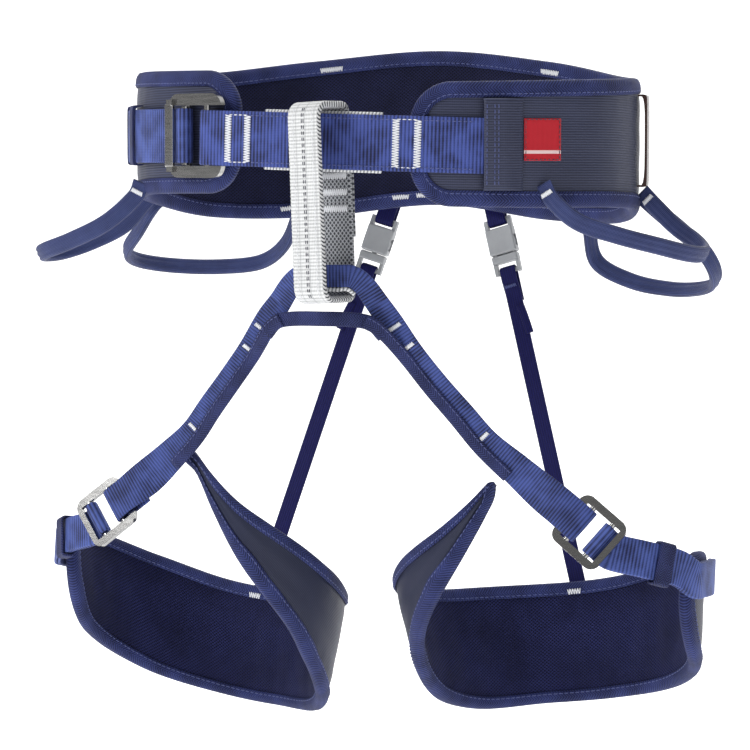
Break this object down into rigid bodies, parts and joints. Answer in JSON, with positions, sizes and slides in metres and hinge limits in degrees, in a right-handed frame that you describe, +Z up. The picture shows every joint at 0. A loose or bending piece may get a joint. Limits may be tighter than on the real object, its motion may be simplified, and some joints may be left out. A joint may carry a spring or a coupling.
{
  "type": "climbing harness",
  "caption": "Sit harness with a padded waist belt, padded leg loops, a belay loop, gear loops, webbing buckles and elastic rear straps.",
  "frame": {"origin": "centre of the waist opening, at the height of the front webbing", "axes": "+Z up the wearer's body, -Y to the wearer's front, +X to the right as seen from the front"},
  "size_m": [0.4953, 0.295, 0.4827],
  "materials": {
    "pad_foam": "closed-cell foam core, hidden",
    "mesh_lining": "dark navy open mesh over foam",
    "ripstop_shell": "coated ripstop cloth, soft sheen",
    "edge_binding": "herringbone tape, matte",
    "blue_webbing": "ribbed webbing, slight sheen",
    "belay_webbing": "off-white webbing with dark woven edges",
    "protector_webbing": "ribbed off-white wear webbing",
    "label_cloth": "plain woven label",
    "buckle_steel": "satin with polished rails",
    "buckle_plastic": "light grey moulded",
    "elastic_strap": "fine ribbed elastic",
    "gear_sleeve": "woven sleeve over a stiff core"
  },
  "bodies": {
    "waist_belt": {"waist_pad_foam": "pad_foam", "waist_pad_mesh_lining": "mesh_lining", "waist_pad_outer_shell": "ripstop_shell", "waist_pad_edge_binding": "edge_binding", "waist_webbing": "blue_webbing", "adjusting_webbing": "blue_webbing", "tie_in_backing_webbing": "blue_webbing", "upper_tie_in_protector": "protector_webbing", "webbing_sleeve": "ripstop_shell", "woven_label": "label_cloth", "tail_keeper_front": "ripstop_shell", "tail_keeper_rear": "ripstop_shell", "ice_clip_slot_right": "ripstop_shell", "ice_clip_slot_left": "ripstop_shell"},
    "waist_buckle": {"waist_buckle_frame": "buckle_steel"},
    "waist_buckle_slider": {"waist_buckle_floating_bar": "buckle_steel"},
    "belay_loop": {"belay_loop_webbing": "belay_webbing", "belay_loop_overlap": "belay_webbing"},
    "leg_bridge": {"leg_bridge_webbing": "blue_webbing", "lower_tie_in_protector": "protector_webbing", "leg_cross_strap": "blue_webbing"},
    "leg_loop_left": {"leg_pad_foam_left": "pad_foam", "leg_pad_mesh_lining_left": "mesh_lining", "leg_pad_outer_shell_left": "ripstop_shell", "leg_pad_edge_binding_left": "edge_binding", "leg_strap_left": "blue_webbing", "leg_strap_binding_left": "edge_binding", "leg_adjusting_webbing_left": "blue_webbing", "leg_tail_keeper_left": "ripstop_shell"},
    "leg_buckle_left": {"leg_buckle_frame_left": "buckle_steel"},
    "rear_strap_left": {"rear_strap_upper_left": "elastic_strap", "rear_strap_elastic_left": "elastic_strap", "release_buckle_female_left": "buckle_plastic", "release_buckle_male_left": "buckle_plastic"},
    "release_prong_inner_left": {"release_prong_inner_left": "buckle_plastic"},
    "release_prong_outer_left": {"release_prong_outer_left": "buckle_plastic"},
    "leg_loop_right": {"leg_pad_foam_right": "pad_foam", "leg_pad_mesh_lining_right": "mesh_lining", "leg_pad_outer_shell_right": "ripstop_shell", "leg_pad_edge_binding_right": "edge_binding", "leg_strap_right": "blue_webbing", "leg_strap_binding_right": "edge_binding", "leg_adjusting_webbing_right": "blue_webbing", "leg_tail_keeper_right": "ripstop_shell"},
    "leg_buckle_right": {"leg_buckle_frame_right": "buckle_steel"},
    "rear_strap_right": {"rear_strap_upper_right": "elastic_strap", "rear_strap_elastic_right": "elastic_strap", "release_buckle_female_right": "buckle_plastic", "release_buckle_male_right": "buckle_plastic"},
    "release_prong_inner_right": {"release_prong_inner_right": "buckle_plastic"},
    "release_prong_outer_right": {"release_prong_outer_right": "buckle_plastic"},
    "gear_loop_front_left": {"gear_loop_front_left": "gear_sleeve"},
    "gear_loop_rear_left": {"gear_loop_rear_left": "gear_sleeve"},
    "gear_loop_front_right": {"gear_loop_front_right": "gear_sleeve"},
    "gear_loop_rear_right": {"gear_loop_rear_right": "gear_sleeve"}
  },
  "joints": [
    {"name": "waist_buckle_turn", "type": "hinge", "parent": "waist_belt", "child": "waist_buckle", "pos_m": [-0.086, -0.11439, 0.0019], "axis": [0, 0, 1], "range_deg": [0, 2]},
    {"name": "waist_buckle_bar_slide", "type": "slide", "parent": "waist_buckle", "child": "waist_buckle_slider", "axis": [0.9294, -0.3691, 0], "range_m": [-0.0007, 0.0007]},
    {"name": "belay_loop_swing", "type": "hinge", "parent": "waist_belt", "child": "belay_loop", "pos_m": [0, -0.1217, -0.0225], "axis": [1, 0, 0], "range_deg": [-8, 0], "stiffness_Nm_per_rad": 4, "springref_deg": 2.97},
    {"name": "leg_bridge_swing", "type": "hinge", "parent": "belay_loop", "child": "leg_bridge", "pos_m": [0, -0.125, -0.1025], "axis": [1, 0, 0], "range_deg": [-5, 0], "stiffness_Nm_per_rad": 4, "springref_deg": 3.07},
    {"name": "leg_loop_spread_left", "type": "hinge", "parent": "leg_bridge", "child": "leg_loop_left", "pos_m": [-0.0515, -0.11, -0.1165], "axis": [0, 1, 0], "range_deg": [0, 8]},
    {"name": "leg_buckle_tilt_left", "type": "hinge", "parent": "leg_loop_left", "child": "leg_buckle_left", "pos_m": [-0.175, -0.086, -0.26], "axis": [-0.5979, 0.3062, 0.7408], "range_deg": [-1.5, 1.5]},
    {"name": "rear_strap_swing_left", "type": "hinge", "parent": "waist_belt", "child": "rear_strap_left", "pos_m": [-0.038, 0.127, -0.04], "axis": [1, 0, 0], "range_deg": [0, 8], "stiffness_Nm_per_rad": 1},
    {"name": "release_prong_outer_left_flex", "type": "hinge", "parent": "rear_strap_left", "child": "release_prong_outer_left", "pos_m": [-0.05721, 0.11921, -0.08161], "axis": [-0.0477, 0.9856, -0.1624], "range_deg": [0, 7], "stiffness_Nm_per_rad": 0.05},
    {"name": "release_prong_inner_left_flex", "type": "hinge", "parent": "rear_strap_left", "child": "release_prong_inner_left", "pos_m": [-0.04436, 0.11921, -0.08539], "axis": [-0.0477, 0.9856, -0.1624], "range_deg": [-7, 0], "stiffness_Nm_per_rad": 0.05},
    {"name": "leg_loop_spread_right", "type": "hinge", "parent": "leg_bridge", "child": "leg_loop_right", "pos_m": [0.0515, -0.11, -0.1165], "axis": [0, 1, 0], "range_deg": [-8, 0]},
    {"name": "leg_buckle_tilt_right", "type": "hinge", "parent": "leg_loop_right", "child": "leg_buckle_right", "pos_m": [0.175, -0.086, -0.26], "axis": [-0.5979, -0.3062, -0.7408], "range_deg": [-1.5, 1.5]},
    {"name": "rear_strap_swing_right", "type": "hinge", "parent": "waist_belt", "child": "rear_strap_right", "pos_m": [0.038, 0.127, -0.04], "axis": [1, 0, 0], "range_deg": [0, 8], "stiffness_Nm_per_rad": 1},
    {"name": "release_prong_inner_right_flex", "type": "hinge", "parent": "rear_strap_right", "child": "release_prong_inner_right", "pos_m": [0.04436, 0.11921, -0.08539], "axis": [0.0477, 0.9856, -0.1624], "range_deg": [0, 7], "stiffness_Nm_per_rad": 0.05},
    {"name": "release_prong_outer_right_flex", "type": "hinge", "parent": "rear_strap_right", "child": "release_prong_outer_right", "pos_m": [0.05721, 0.11921, -0.08161], "axis": [0.0477, 0.9856, -0.1624], "range_deg": [-7, 0], "stiffness_Nm_per_rad": 0.05},
    {"name": "gear_loop_front_left_flex", "type": "hinge", "parent": "waist_belt", "child": "gear_loop_front_left", "pos_m": [-0.1775, -0.0225, -0.043], "axis": [-0.3437, 0.9364, -0.0711], "range_deg": [-8, 8], "stiffness_Nm_per_rad": 0.4},
    {"name": "gear_loop_rear_left_flex", "type": "hinge", "parent": "waist_belt", "child": "gear_loop_rear_left", "pos_m": [-0.149, 0.0705, -0.051], "axis": [0.7192, 0.6928, -0.0526], "range_deg": [-8, 8], "stiffness_Nm_per_rad": 0.4},
    {"name": "gear_loop_front_right_flex", "type": "hinge", "parent": "waist_belt", "child": "gear_loop_front_right", "pos_m": [0.169, -0.0335, -0.043], "axis": [0.4426, 0.8949, -0.0577], "range_deg": [-8, 8], "stiffness_Nm_per_rad": 0.4},
    {"name": "gear_loop_rear_right_flex", "type": "hinge", "parent": "waist_belt", "child": "gear_loop_rear_right", "pos_m": [0.154, 0.066, -0.054], "axis": [-0.6864, 0.7235, -0.0742], "range_deg": [-8, 8], "stiffness_Nm_per_rad": 0.4}
  ]
}
